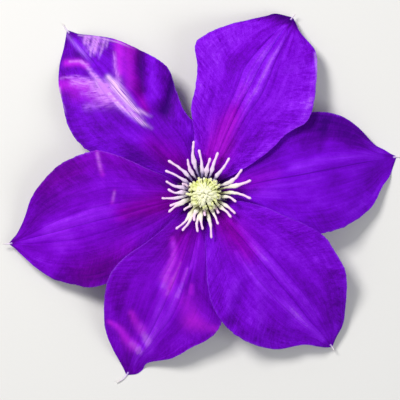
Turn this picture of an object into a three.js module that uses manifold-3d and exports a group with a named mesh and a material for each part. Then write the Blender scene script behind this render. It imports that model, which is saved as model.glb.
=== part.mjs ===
// A large six-sepalled clematis flower as picked, lying face up on a table: violet sepals on two levels that lap like
// tiles, a ring of pale stamens, a silky boss of pistils, and a short stalk bent out of sight below.
// Millimetres, +Z up, the table at z = 0, the origin below the middle of the whole flower.
import * as THREE from "three";
import { mergeVertices } from "three/addons/utils/BufferGeometryUtils.js";
import Module from "manifold-3d";

const wasm = await Module();
wasm.setup();

// Where the flower's axis stands, seen from above.
const axisX = 1.1;
const axisY = 1.9;

// The bowl that every blade follows: its underside rises from the root to a crown, then falls to the table.
const clawStart = 2.6; // nearest that a blade comes to the axis
const rootHeight = 9;
const crownRise = 3.2;
const crownRun = 24;
const fallStart = 26;
const fallRun = 44;
const fallDepth = 12.8;
const levelStep = 1.35; // a lapping blade runs this far above the one below it
const lapRise = 0.7; // how much more its free margin lifts
const bladeThickness = 0.75;
const pressure = 0.5; // how softly a resting tip rounds into the table
const ribDepth = 0.35;

// Half-widths are read off at these shares of a blade's length, in millimetres, left and right looking out from the axis.
const stations = [0, 0.04, 0.07, 0.15, 0.25, 0.35, 0.45, 0.55, 0.65, 0.75, 0.83, 0.9, 0.95, 0.98, 1];
const claw = [1.05, 1.1, 2.0];
const tipHalf = 0.45;

// heading: degrees from +X. lift: 1 where that side laps over its neighbour. tip: height of the tip's underside.
// wave: height, number and phases of the margin's waves. point: the pale bristle at the tip, length and sideways bend.
const sepals = [
  {
    heading: 130.1, length: 73, bow: 0, tip: -2.2, rests: true, liftLeft: 0, liftRight: 0,
    left: [6.8, 12.2, 16, 19.5, 21.5, 20.5, 17, 14, 9.5, 4.7, 2],
    right: [6.8, 12.2, 12.8, 15.2, 17.9, 16.2, 13.2, 10.1, 5.9, 2.6, 1.2],
    wave: [1.1, 2.9, 0.15, 0.55], point: [3.1, -0.45],
  },
  {
    heading: 63.3, length: 67.4, bow: 2.4, tip: 2, rests: false, liftLeft: 1, liftRight: 1,
    left: [8.3, 12.3, 16.7, 18.6, 21.1, 25.3, 22, 17.2, 11.8, 7.9, 5.5],
    right: [6.2, 10.4, 13.7, 15.9, 20.1, 19.4, 17.2, 14.9, 11.8, 4.5, 2.1],
    wave: [0.8, 2.4, 0.6, 0.1], point: [1.7, -0.5],
  },
  {
    heading: 10.7, length: 66.3, bow: 0, tip: -2.2, rests: true, liftLeft: 0, liftRight: 0,
    left: [6.2, 11.4, 15.5, 18.5, 20, 19.9, 17.6, 13.2, 6.3, 3.7, 2.6],
    right: [6.2, 11.5, 16, 19.3, 20.8, 20.4, 18.4, 15.4, 10.2, 6.7, 4.6],
    wave: [0.8, 2.6, 0.35, 0.8], point: [2, -0.4],
  },
  {
    heading: -50.2, length: 68.6, bow: 0, tip: 1.8, rests: false, liftLeft: 1, liftRight: 1,
    left: [8, 12.9, 16.3, 19.8, 21.9, 21.2, 19.7, 15.8, 11.3, 7.5, 2.7],
    right: [8, 13.4, 18.6, 22.1, 23.2, 22.3, 19.3, 14.8, 6.8, 3.8, 2],
    wave: [0.9, 3.1, 0.9, 0.3], point: [1.5, -0.3],
  },
  {
    heading: -113, length: 67.9, bow: 2.3, tip: -2.2, rests: true, liftLeft: 0, liftRight: 1,
    left: [6.2, 11.4, 15.5, 19, 22.5, 21.3, 16, 11.8, 5, 4.2, 2.8],
    right: [5.2, 8.2, 12, 16.2, 18.4, 17.6, 15.3, 12.5, 8.2, 4.2, 1.8],
    wave: [0.9, 2.7, 0.1, 0.7], point: [4, -2.4],
  },
  {
    heading: 194.6, length: 68.9, bow: 0, tip: 2.2, rests: false, liftLeft: 0, liftRight: 1,
    left: [6.6, 11.6, 15.6, 19.2, 21.3, 21.3, 18.6, 15.3, 10.2, 5.2, 2],
    right: [8, 13.4, 19, 22.8, 23, 21.6, 17.8, 13.3, 6.4, 2.6, 1.2],
    wave: [0.9, 2.8, 0.5, 0], point: [2.6, -0.7],
  },
];

// Rows along a blade and lines across it, closer where the outline or the three ribs turn.
const rows = [0.055, 0.08, 0.11, 0.15, 0.2, 0.26, 0.32, 0.38, 0.44, 0.5, 0.56, 0.62, 0.68, 0.74, 0.79, 0.84, 0.88, 0.92, 0.955, 0.98, 1];
const lines = [-1, -0.86, -0.62, -0.4, -0.22, -0.11, 0, 0.11, 0.22, 0.4, 0.62, 0.86, 1];

// The stamens' collar and the boss. Outer stamens splay: direction in degrees and reach from the axis.
const outerStamens = [
  [137, 16.3], [151, 15.1], [163, 13.4], [174, 12.3], [187.5, 14.3], [201, 12.6], [209, 13.7], [221, 10.6],
  [233, 15.6], [242, 14.7], [252, 10.1], [263, 13.3], [279, 15.5], [294, 11.6], [305, 8.5], [318, 12.4],
  [331, 12.8], [344, 11.3], [353, 15.9], [4, 10.4], [15, 16.5], [32, 15.2], [44, 10.8], [54, 14.7],
  [71, 14.7], [82, 12.1], [100, 17.8], [116, 12.7], [127, 10.2],
];
const collarInner = 2.4;
const collarOuter = 4.8;
const collarTop = 12.3;
const postRadius = 2.1;
const bossRadius = 3.3;
const bossBase = 12.6;
const bossHeight = 4.4;
const innerStamens = 20;
const styles = 19;

// The stalk: a flare under the sepals, then a slender stem that bends under the dome and lies just clear of the table.
const stalkRadius = 1.15;
const flareRadius = 4.6;
const flareTop = 8.7;
const stalkHeading = -81;
const stalkReach = 31;

const materials = {
  sepal: { color: 0x7a17dd, roughness: 0.62 },
  stamen: { color: 0xf3ecd6, roughness: 0.7 },
  pistil: { color: 0xe9ecae, roughness: 0.7 },
  stalk: { color: 0x6f8a3c, roughness: 0.6 },
};

// One seeded run of numbers from 0 to 1.
function seededRandom(seed) {
  let state = seed;
  return () => {
    state = (state * 16807) % 2147483647;
    return state / 2147483647;
  };
}

// A smooth curve through points (xs, ys).
function curveThrough(xs, ys) {
  const slope = xs.map((_, i) => {
    const a = Math.max(0, i - 1);
    const b = Math.min(xs.length - 1, i + 1);
    return (ys[b] - ys[a]) / (xs[b] - xs[a]);
  });
  return (x) => {
    let i = 0;
    while (i < xs.length - 2 && x > xs[i + 1]) i++;
    const h = xs[i + 1] - xs[i];
    const t = THREE.MathUtils.clamp((x - xs[i]) / h, 0, 1);
    const rest = 1 - t;
    return (
      ys[i] * (1 + 2 * t) * rest * rest + slope[i] * h * t * rest * rest +
      ys[i + 1] * (3 - 2 * t) * t * t - slope[i + 1] * h * t * t * rest
    );
  };
}

// Height of the bowl's underside at a distance from the axis.
function bowlHeight(r) {
  const rise = Math.sin((Math.PI / 2) * THREE.MathUtils.clamp((r - clawStart) / crownRun, 0, 1));
  const fall = Math.max(0, (r - fallStart) / fallRun);
  return rootHeight + crownRise * rise - fallDepth * fall * fall;
}

const levelRamp = (r) => THREE.MathUtils.smoothstep(r, 3, 7.5);

// The underside of a blade at u along its length and v across it, from -1 on the right margin to 1 on the left.
function bladePoint(sepal, u, v) {
  const { MathUtils } = THREE;
  const turn = MathUtils.degToRad(sepal.heading);
  const along = u * sepal.length;
  const bow = sepal.bow * 4 * u * (1 - u);
  const across = bow + v * (v >= 0 ? sepal.leftHalf(u) - bow : sepal.rightHalf(u) + bow);
  const x = along * Math.cos(turn) - across * Math.sin(turn);
  const y = along * Math.sin(turn) + across * Math.cos(turn);
  const r = Math.hypot(x, y);
  const droop = Math.max(0, (u - 0.55) / 0.45) ** 2;
  const lift = MathUtils.lerp(sepal.liftRight, sepal.liftLeft, MathUtils.smoothstep(v, -0.5, 0.5));
  const margin = MathUtils.smoothstep(Math.abs(v), 0.5, 1) * (v >= 0 ? sepal.liftLeft : sepal.liftRight);
  const lap = levelStep * lift + lapRise * margin * MathUtils.smoothstep(u, 0.15, 0.35) * (1 - MathUtils.smoothstep(u, 0.65, 0.9));
  const [height, count, phaseLeft, phaseRight] = sepal.wave;
  const phase = v >= 0 ? phaseLeft : phaseRight;
  const wave = height * MathUtils.smoothstep(u, 0.55, 0.75) * Math.abs(v) ** 3 * Math.sin(2 * Math.PI * (count * u + phase));
  const rib = Math.cos((2 * Math.PI * v) / 0.22) * MathUtils.smoothstep(0.33 - Math.abs(v), 0, 0.1);
  const ribFade = MathUtils.smoothstep(u, 0.08, 0.3) * (1 - MathUtils.smoothstep(u, 0.8, 1));
  let z =
    bowlHeight(r) + levelRamp(r) * lap * (1 - droop) + droop * (sepal.tip - bowlHeight(sepal.length)) +
    wave * (1 - MathUtils.smoothstep(u, 0.93, 1)) - 0.5 * ribDepth * rib * ribFade;
  // Whatever would sink below its floor is pressed flat on it.
  const floor = sepal.rests ? 0 : 1;
  const over = MathUtils.clamp(0.5 + (z - floor) / (2 * pressure), 0, 1);
  z = floor + over * (z - floor) + pressure * over * (1 - over);
  return new THREE.Vector3(x + axisX, y + axisY, z);
}

// A geometry without its normals and texture coordinates, its matching corners made one.
function welded(geometry) {
  geometry.deleteAttribute("normal");
  geometry.deleteAttribute("uv");
  return mergeVertices(geometry, 1e-4);
}

function toSolid(geometry) {
  const plain = welded(geometry);
  return new wasm.Manifold(
    new wasm.Mesh({
      numProp: 3,
      vertProperties: new Float32Array(plain.attributes.position.array),
      triVerts: new Uint32Array(plain.index.array),
    }),
  );
}

// Fuses solids into one body: a hollow that the fusing seals is filled, and a loose scrap is dropped.
function fused(solids) {
  const shells = wasm.Manifold.union(solids).decompose();
  return shells.reduce((best, shell) => (shell.volume() > best.volume() ? shell : best));
}

function toMesh(name, solid, material) {
  const { vertProperties, triVerts } = solid.getMesh();
  const geometry = new THREE.BufferGeometry();
  geometry.setAttribute("position", new THREE.BufferAttribute(new Float32Array(vertProperties), 3));
  geometry.setIndex(new THREE.BufferAttribute(new Uint32Array(triVerts), 1));
  geometry.computeVertexNormals();
  const mesh = new THREE.Mesh(geometry, new THREE.MeshStandardMaterial(material));
  mesh.name = name;
  return mesh;
}

// A thin blade: the underside and the same sheet raised by its thickness, both split alike, joined round the rim.
function bladeGeometry(sepal) {
  const along = [clawStart / sepal.length, ...rows];
  const sheet = new THREE.PlaneGeometry(1, 1, lines.length - 1, along.length - 1);
  const top = sheet.clone();
  const size = sheet.attributes.position.count;
  along.forEach((u, row) => {
    lines.forEach((v, column) => {
      const point = bladePoint(sepal, u, v);
      const i = row * lines.length + column;
      sheet.attributes.position.setXYZ(i, point.x, point.y, point.z);
      top.attributes.position.setXYZ(i, point.x, point.y, point.z + bladeThickness);
    });
  });
  // Rows run outwards and lines run leftwards, so a plane's own winding faces up.
  const winding = Array.from(sheet.index.array);
  const faces = winding.map((corner) => corner + size);
  for (let i = 0; i < winding.length; i += 3) faces.push(winding[i], winding[i + 2], winding[i + 1]);
  const last = along.length - 1;
  const rim = [];
  for (let c = 0; c < lines.length - 1; c++) rim.push(c);
  for (let r = 0; r < last; r++) rim.push(r * lines.length + lines.length - 1);
  for (let c = lines.length - 1; c > 0; c--) rim.push(last * lines.length + c);
  for (let r = last; r > 0; r--) rim.push(r * lines.length);
  rim.forEach((a, i) => {
    const b = rim[(i + 1) % rim.length];
    faces.push(a, b + size, b, a, a + size, b + size);
  });
  const geometry = new THREE.BufferGeometry();
  const points = [...sheet.attributes.position.array, ...top.attributes.position.array];
  geometry.setAttribute("position", new THREE.Float32BufferAttribute(points, 3));
  geometry.setIndex(faces);
  return geometry;
}

// A tube of few sides along a curve. width and depth give its size sideways and upwards at t from 0 to 1.
function tubeGeometry(points, width, depth, sides, steps) {
  const curve = new THREE.CatmullRomCurve3(points, false, "centripetal");
  const geometry = new THREE.CylinderGeometry(1, 1, 1, sides, steps);
  const corners = geometry.attributes.position;
  const up = new THREE.Vector3(0, 0, 1);
  for (let i = 0; i < corners.count; i++) {
    const t = THREE.MathUtils.clamp(corners.getY(i) + 0.5, 0, 1);
    const tangent = curve.getTangent(t);
    const side = new THREE.Vector3().crossVectors(tangent, up);
    if (side.lengthSq() < 0.02) side.set(1, 0, 0);
    side.normalize();
    const raised = new THREE.Vector3().crossVectors(side, tangent);
    const point = curve
      .getPoint(t)
      .addScaledVector(side, (corners.getX(i) * width(t)) / 2)
      .addScaledVector(raised, (corners.getZ(i) * depth(t)) / 2);
    corners.setXYZ(i, point.x, point.y, point.z);
  }
  return geometry;
}

// A point at a distance and direction from the flower's axis.
function around(direction, distance, height) {
  const turn = THREE.MathUtils.degToRad(direction);
  return new THREE.Vector3(axisX + distance * Math.cos(turn), axisY + distance * Math.sin(turn), height);
}

function makeSepal(sepal, index) {
  sepal.leftHalf = curveThrough(stations, [...claw, ...sepal.left, tipHalf]);
  sepal.rightHalf = curveThrough(stations, [...claw, ...sepal.right, tipHalf]);
  const blade = toSolid(bladeGeometry(sepal));
  // The pale bristle grows out of the blade's tip.
  const root = bladePoint(sepal, 0.985, 0);
  const tip = bladePoint(sepal, 1, 0);
  const outward = new THREE.Vector3(Math.cos((sepal.heading * Math.PI) / 180), Math.sin((sepal.heading * Math.PI) / 180), 0);
  const sideways = new THREE.Vector3(-outward.y, outward.x, 0);
  const [length, bend] = sepal.point;
  const middle = (point, raise) => point.clone().add(new THREE.Vector3(0, 0, bladeThickness / 2 + raise));
  const bristle = tubeGeometry(
    [
      middle(root, 0.03),
      middle(tip, 0.05),
      middle(tip, 0.2).addScaledVector(outward, length * 0.5).addScaledVector(sideways, bend * 0.3),
      middle(tip, 0.55).addScaledVector(outward, length).addScaledVector(sideways, bend),
    ],
    (t) => 0.72 - 0.34 * t,
    (t) => 0.66 - 0.3 * t,
    6,
    4,
  );
  return toMesh(`sepal_${index + 1}`, fused([blade, toSolid(bristle)]), materials.sepal);
}

function makeStamens() {
  const random = seededRandom(7301);
  const profile = [
    [collarInner, 10.1],
    [collarOuter, 11.1],
    [collarOuter, collarTop - 0.5],
    [collarOuter - 0.5, collarTop],
    [collarInner, collarTop],
    [collarInner, 10.1],
  ].map(([r, z]) => new THREE.Vector2(r, z));
  const collar = new THREE.LatheGeometry(profile, 18).rotateX(Math.PI / 2).translate(axisX, axisY, 0);
  const pieces = [toSolid(collar)];
  outerStamens.forEach(([direction, reach]) => {
    const sway = 2.2 * (random() - 0.5);
    const height = 14.9 + 1.9 * random();
    const turnAt = (distance, amount) => direction + THREE.MathUtils.radToDeg(amount / distance);
    pieces.push(
      toSolid(
        tubeGeometry(
          [
            around(direction, 3.9, 11.3),
            around(turnAt(5, sway * 0.2), 5.1, 13.2),
            around(turnAt(reach * 0.6, sway), reach * 0.62, 14.7 + 0.4 * random()),
            around(turnAt(reach * 0.85, -sway * 0.35), reach * 0.84, height),
            around(direction, reach, height + 0.7 * (random() - 0.3)),
          ],
          (t) => 0.75 + 0.7 * Math.sin(Math.PI * Math.min(1, t * 1.05)) - 0.15 * t,
          (t) => 0.85 - 0.2 * t,
          5,
          5,
        ),
      ),
    );
  });
  for (let i = 0; i < innerStamens; i++) {
    const direction = (360 * (i + 0.6 * random())) / innerStamens;
    const top = 4.7 + 0.9 * random();
    const height = 16.2 + 1.7 * random();
    pieces.push(
      toSolid(
        tubeGeometry(
          [
            around(direction, 3.65, 12),
            around(direction, 4.35, 13.8),
            around(direction + 4 * (random() - 0.5), top + 0.2, height - 1.2),
            around(direction + 6 * (random() - 0.5), top, height),
          ],
          (t) => 0.75 + 0.35 * t,
          (t) => 0.75 + 0.3 * t,
          4,
          3,
        ),
      ),
    );
  }
  return toMesh("stamens", fused(pieces), materials.stamen);
}

function makePistils() {
  const random = seededRandom(4409);
  const profile = [[0, bossBase], [bossRadius * 0.8, bossBase], [bossRadius, bossBase + 0.8]];
  for (let i = 1; i <= 4; i++) {
    const turn = (Math.PI / 8) * i;
    profile.push([bossRadius * Math.cos(turn), bossBase + 0.8 + (bossHeight - 0.8) * Math.sin(turn)]);
  }
  profile[profile.length - 1][0] = 0;
  const points = profile.map(([r, z]) => new THREE.Vector2(r, z));
  const pieces = [toSolid(new THREE.LatheGeometry(points, 14).rotateX(Math.PI / 2).translate(axisX, axisY, 0))];
  // The styles are spread like the seeds of a sunflower, and lean out a little.
  for (let i = 0; i < styles; i++) {
    const direction = i * 137.5;
    const distance = 0.25 + 2.65 * Math.sqrt(i / styles);
    const top = 19.3 - 0.16 * distance * distance + 0.7 * random();
    const lean = distance * 1.18 + 0.3 * random();
    pieces.push(
      toSolid(
        tubeGeometry(
          [around(direction, distance * 0.8, bossBase + 1.4), around(direction, distance, 16.2), around(direction + 14 * (random() - 0.5), lean, top)],
          (t) => 1.15 - 0.4 * t,
          (t) => 1.1 - 0.4 * t,
          4,
          2,
        ),
      ),
    );
  }
  return toMesh("pistils", fused(pieces), materials.pistil);
}

function makeStalk() {
  const post = [
    [0, 4.6], [stalkRadius + 0.25, 4.9], [2.1, 6.6], [3.6, 7.9], [flareRadius, flareTop - 0.35], [flareRadius - 0.2, flareTop],
    [postRadius, flareTop], [postRadius, collarTop - 0.25], [postRadius - 0.3, collarTop], [0, collarTop],
  ].map(([r, z]) => new THREE.Vector2(r, z));
  const flare = new THREE.LatheGeometry(post, 12).rotateX(Math.PI / 2).translate(axisX, axisY, 0);
  const lying = stalkRadius + 0.35;
  const stem = tubeGeometry(
    [
      around(stalkHeading, 0, 6.4),
      around(stalkHeading, 0.35, 4.6),
      around(stalkHeading, 2.4, 2.3),
      around(stalkHeading + 1, 6.5, lying),
      around(stalkHeading + 3, 14, lying + 0.1),
      around(stalkHeading + 2, 22, lying + 0.05),
      around(stalkHeading, stalkReach, lying + 0.2),
    ],
    () => 2 * stalkRadius,
    () => 2 * stalkRadius,
    8,
    16,
  );
  return toMesh("stalk", fused([toSolid(flare), toSolid(stem)]), materials.stalk);
}

const flower = new THREE.Group();
flower.name = "clematis_flower";
flower.add(makeStalk(), ...sepals.map(makeSepal), makeStamens(), makePistils());

export default flower;
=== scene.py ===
# A large violet clematis flower, picked and laid face up.
# Shapes are worked out in millimetres and kept in metres.
import math
import random
import bpy
import bmesh
from mathutils import Matrix, Vector, noise


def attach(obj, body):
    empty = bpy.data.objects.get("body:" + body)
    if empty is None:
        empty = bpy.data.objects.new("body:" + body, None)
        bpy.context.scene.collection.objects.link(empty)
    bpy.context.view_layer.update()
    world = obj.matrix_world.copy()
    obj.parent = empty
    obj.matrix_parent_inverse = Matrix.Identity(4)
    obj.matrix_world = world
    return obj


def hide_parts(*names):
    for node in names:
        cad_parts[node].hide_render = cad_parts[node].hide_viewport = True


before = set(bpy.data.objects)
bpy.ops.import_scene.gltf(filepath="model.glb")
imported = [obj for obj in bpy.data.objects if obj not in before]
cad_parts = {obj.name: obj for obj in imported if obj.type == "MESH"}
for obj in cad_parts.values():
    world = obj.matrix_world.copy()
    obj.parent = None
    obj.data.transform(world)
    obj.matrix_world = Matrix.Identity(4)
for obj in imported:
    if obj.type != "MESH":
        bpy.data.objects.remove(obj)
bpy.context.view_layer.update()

# camera, light and floor, in mm

studio = {
    "lookAt": (-0.26, -0.48),  # the point under the middle of the view
    "cameraHeight": 620,
    "viewWidth": 136,  # what the view takes in at the height of the sepals
    "sepalHeight": 8,
    "sensor": 36, "nearest": 10,
    "keyPower": 6.15, "keyPlace": (-380, 420, 620), "keySize": 260, "keyTint": (1.0, 0.98, 0.95),
    "fillPower": 1.75, "fillPlace": (520, -260, 560), "fillSize": 500, "fillTint": (0.95, 0.97, 1.0),
    "skyStrength": 0.3, "skyTint": (0.96, 0.98, 1.0, 1),
    "floorTone": (0.83, 0.825, 0.81), "floorDarkest": 0.985, "floorGrain": 900, "floorHalf": 3000,
}


def addObject(name, data):
    thing = bpy.data.objects.new(name, data)
    bpy.context.scene.collection.objects.link(thing)
    return thing


def meshFrom(bm, name):
    mesh = bpy.data.meshes.new(name)
    bm.to_mesh(mesh)
    bm.free()
    return mesh


def makeCamera():
    camera = bpy.data.cameras.new("cameraAbove")
    camera.sensor_width = studio["sensor"]
    reach = studio["cameraHeight"] - studio["sepalHeight"]
    camera.lens = studio["sensor"] * reach / studio["viewWidth"]
    camera.clip_start = studio["nearest"] / 1000
    holder = addObject("cameraAbove", camera)
    x, y = studio["lookAt"]
    holder.location = (x / 1000, y / 1000, studio["cameraHeight"] / 1000)
    bpy.context.scene.camera = holder


def makeLamp(name):
    lamp = bpy.data.lights.new(name + "Lamp", "AREA")
    lamp.energy = studio[name + "Power"]
    lamp.size = studio[name + "Size"] / 1000
    lamp.color = studio[name + "Tint"]
    holder = addObject(name + "Lamp", lamp)
    holder.location = Vector(studio[name + "Place"]) / 1000
    holder.rotation_euler = (-holder.location).to_track_quat("-Z", "Y").to_euler()


def makeSky():
    world = bpy.data.worlds.new("studioSky")
    world.use_nodes = True
    background = world.node_tree.nodes["Background"]
    background.inputs["Color"].default_value = studio["skyTint"]
    background.inputs["Strength"].default_value = studio["skyStrength"]
    bpy.context.scene.world = world


def makeFloor():
    bm = bmesh.new()
    bmesh.ops.create_grid(bm, x_segments=1, y_segments=1, size=studio["floorHalf"] / 1000)
    mesh = meshFrom(bm, "paleFloor")
    material, tree, shader = newMaterial("floorPaper", 0.9, 0.1)
    darkest = [part * studio["floorDarkest"] for part in studio["floorTone"]]
    colours = {"Color1": (*darkest, 1), "Color2": (*studio["floorTone"], 1)}
    grain = evenNoise(tree, studio["floorGrain"], 3)
    paint(tree, shader, addNode(tree, "MixRGB", {"Fac": grain, **colours}).outputs[0])
    mesh.materials.append(material)
    floor = addObject("paleFloor", mesh)


# material helpers

def newMaterial(name, roughness, gloss=0.5, sheen=0.0):
    material = bpy.data.materials.new(name)
    material.use_nodes = True
    tree = material.node_tree
    shader = next(n for n in tree.nodes if n.type == "BSDF_PRINCIPLED")
    shader.inputs["Roughness"].default_value = roughness
    shader.inputs["Specular IOR Level"].default_value = gloss
    shader.inputs["Sheen Weight"].default_value = sheen
    return material, tree, shader


def paint(tree, shader, colour):
    tree.links.new(colour, shader.inputs["Base Color"])


def addNode(tree, kind, inputs=None, **settings):
    node = tree.nodes.new("ShaderNode" + kind)
    for key, value in settings.items():
        setattr(node, key, value)
    for key, value in (inputs or {}).items():
        if isinstance(value, bpy.types.NodeSocket):
            tree.links.new(value, node.inputs[key])
        else:
            node.inputs[key].default_value = value
    return node


def calc(tree, operation, a, b=0.0, c=0.0, clamped=False):
    node = addNode(tree, "Math", {0: a, 1: b, 2: c}, operation=operation, use_clamp=clamped)
    return node.outputs[0]


def plus(tree, a, b, clamped=False):
    return calc(tree, "ADD", a, b, clamped=clamped)


def times(tree, a, b, clamped=False):
    return calc(tree, "MULTIPLY", a, b, clamped=clamped)


def centred(tree, value, amount):
    # turns noise from 0 to 1 into a change around nothing
    return calc(tree, "MULTIPLY_ADD", value, amount, -0.5 * amount)


def mottled(tree, level, noises, amounts):
    # a level with named noises added to it, each by its own amount
    for name, amount in amounts.items():
        level = plus(tree, level, centred(tree, noises[name], amount))
    return level


def ease(tree, value, low, high, bottom=0.0, top=1.0):
    inputs = {"Value": value, "From Min": low, "From Max": high, "To Min": bottom, "To Max": top}
    return addNode(tree, "MapRange", inputs, interpolation_type="SMOOTHSTEP").outputs["Result"]


def mixColour(tree, share, first, second):
    # the second may be a plain screen colour
    if not isinstance(second, bpy.types.NodeSocket):
        second = (*shade(*second), 1)
    node = addNode(tree, "MixRGB", {"Fac": share, "Color1": first, "Color2": second})
    return node.outputs[0]


def evenNoise(tree, scale, detail, roughness=0.5):
    place = addNode(tree, "TexCoord").outputs["Object"]
    inputs = {"Vector": place, "Scale": scale, "Detail": detail, "Roughness": roughness}
    return addNode(tree, "TexNoise", inputs).outputs["Fac"]


def streaks(tree, along, across, pattern):
    # noise that is stretched along a blade. pattern is its scale along and across, detail and roughness.
    alongScale, acrossScale, detail, roughness = pattern
    x, y = times(tree, along, alongScale), times(tree, across, acrossScale)
    place = addNode(tree, "CombineXYZ", {"X": x, "Y": y, "Z": read(tree, "shift")})
    inputs = {"Vector": place.outputs[0], "Scale": 1.0, "Detail": detail, "Roughness": roughness}
    return addNode(tree, "TexNoise", inputs).outputs["Fac"]


def ramp(tree, value, stops):
    # each stop is a place and a screen colour
    node = addNode(tree, "ValToRGB", {"Fac": value})
    elements = node.color_ramp.elements
    while len(elements) < len(stops):
        elements.new(0.5)
    for element, (place, *colour) in zip(elements, stops):
        element.position = place
        element.color = (*shade(*colour), 1)
    return node.outputs["Color"]


def read(tree, name):
    return addNode(tree, "Attribute", attribute_name=name).outputs["Fac"]


def shade(red, green, blue):
    # a screen colour, 0 to 255, as linear light
    def linear(part):
        part /= 255
        return part / 12.92 if part < 0.04045 else ((part + 0.055) / 1.055) ** 2.4
    return (linear(red), linear(green), linear(blue))


def addBump(tree, shader, height, distance, strength=0.5):
    # distance is in mm
    inputs = {"Height": height, "Distance": distance / 1000, "Strength": strength}
    node = addNode(tree, "Bump", inputs)
    tree.links.new(node.outputs[0], shader.inputs["Normal"])


# shape helpers

def clamp(x, low=0.0, high=1.0):
    return min(high, max(low, x))


def smoothStep(x, low, high):
    t = clamp((x - low) / (high - low))
    return t * t * (3 - 2 * t)


def window(x, start, full, fade, end):
    # 0 before the start, 1 from full to fade, and 0 after the end
    return smoothStep(x, start, full) * (1 - smoothStep(x, fade, end))


def bell(offset, width):
    # 1 in the middle of a soft bump, and near 0 two widths from it
    return math.exp(-(offset / width) ** 2)


def between(a, b, t):
    return a + (b - a) * t


def jitter(chance, amount):
    # a random change of up to half the amount either way
    return amount * (chance.random() - 0.5)


def curveThrough(xs, ys):
    # a smooth curve through the points
    last = len(xs) - 1
    slopes = []
    for i in range(last + 1):
        before, after = max(0, i - 1), min(last, i + 1)
        slopes.append((ys[after] - ys[before]) / (xs[after] - xs[before]))

    def value(x):
        i = 0
        while i < last - 1 and x > xs[i + 1]:
            i += 1
        h = xs[i + 1] - xs[i]
        t = clamp((x - xs[i]) / h)
        rest = 1 - t
        return (ys[i] * (1 + 2 * t) * rest * rest + slopes[i] * h * t * rest * rest
                + ys[i + 1] * (3 - 2 * t) * t * t - slopes[i + 1] * h * t * t * rest)
    return value


def aroundAxis(direction, distance, height):
    turn = math.radians(direction)
    x, y = bowl["axis"]
    return Vector((x + distance * math.cos(turn), y + distance * math.sin(turn), height))


def mergeInto(bm, part):
    mesh = meshFrom(part, "part")
    bm.from_mesh(mesh)
    bpy.data.meshes.remove(mesh)


def finishPiece(bm, name, materials, slotName, *nodes):
    # turns the millimetres into metres and hands the piece over
    bmesh.ops.scale(bm, vec=(0.001, 0.001, 0.001), verts=bm.verts)
    mesh = meshFrom(bm, name)
    mesh.shade_smooth()
    for material in materials:
        mesh.materials.append(material)
    piece = addObject(name, mesh)
    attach(piece, "root")
    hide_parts(*nodes)
    return piece


# the bowl that all six sepals follow, in mm

bowl = {
    "axis": (1.1, 1.9),
    "clawStart": 2.6, "rootHeight": 9.0,
    "crownRise": 3.2, "crownRun": 24.0,
    "fallStart": 26.0, "fallRun": 44.0, "fallDepth": 12.8,
    "droopStart": 0.55,  # the share of a blade where it starts to fall to its tip
    "levelStep": 1.35, "levelFrom": 3, "levelFull": 7.5,
    "lapRise": 0.7, "lapSpan": (0.15, 0.35, 0.65, 0.9),
    "clearance": 1,  # under the sepals that don't rest on the table
    "pressure": 0.5,  # how far above the table a blade starts to flatten
}
stations = [0, 0.04, 0.07, 0.15, 0.25, 0.35, 0.45, 0.55, 0.65, 0.75, 0.83, 0.9, 0.95, 0.98, 1]
claw = [1.05, 1.1, 2.0]  # half-widths at the first three stations
tipHalf = 0.3

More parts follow.
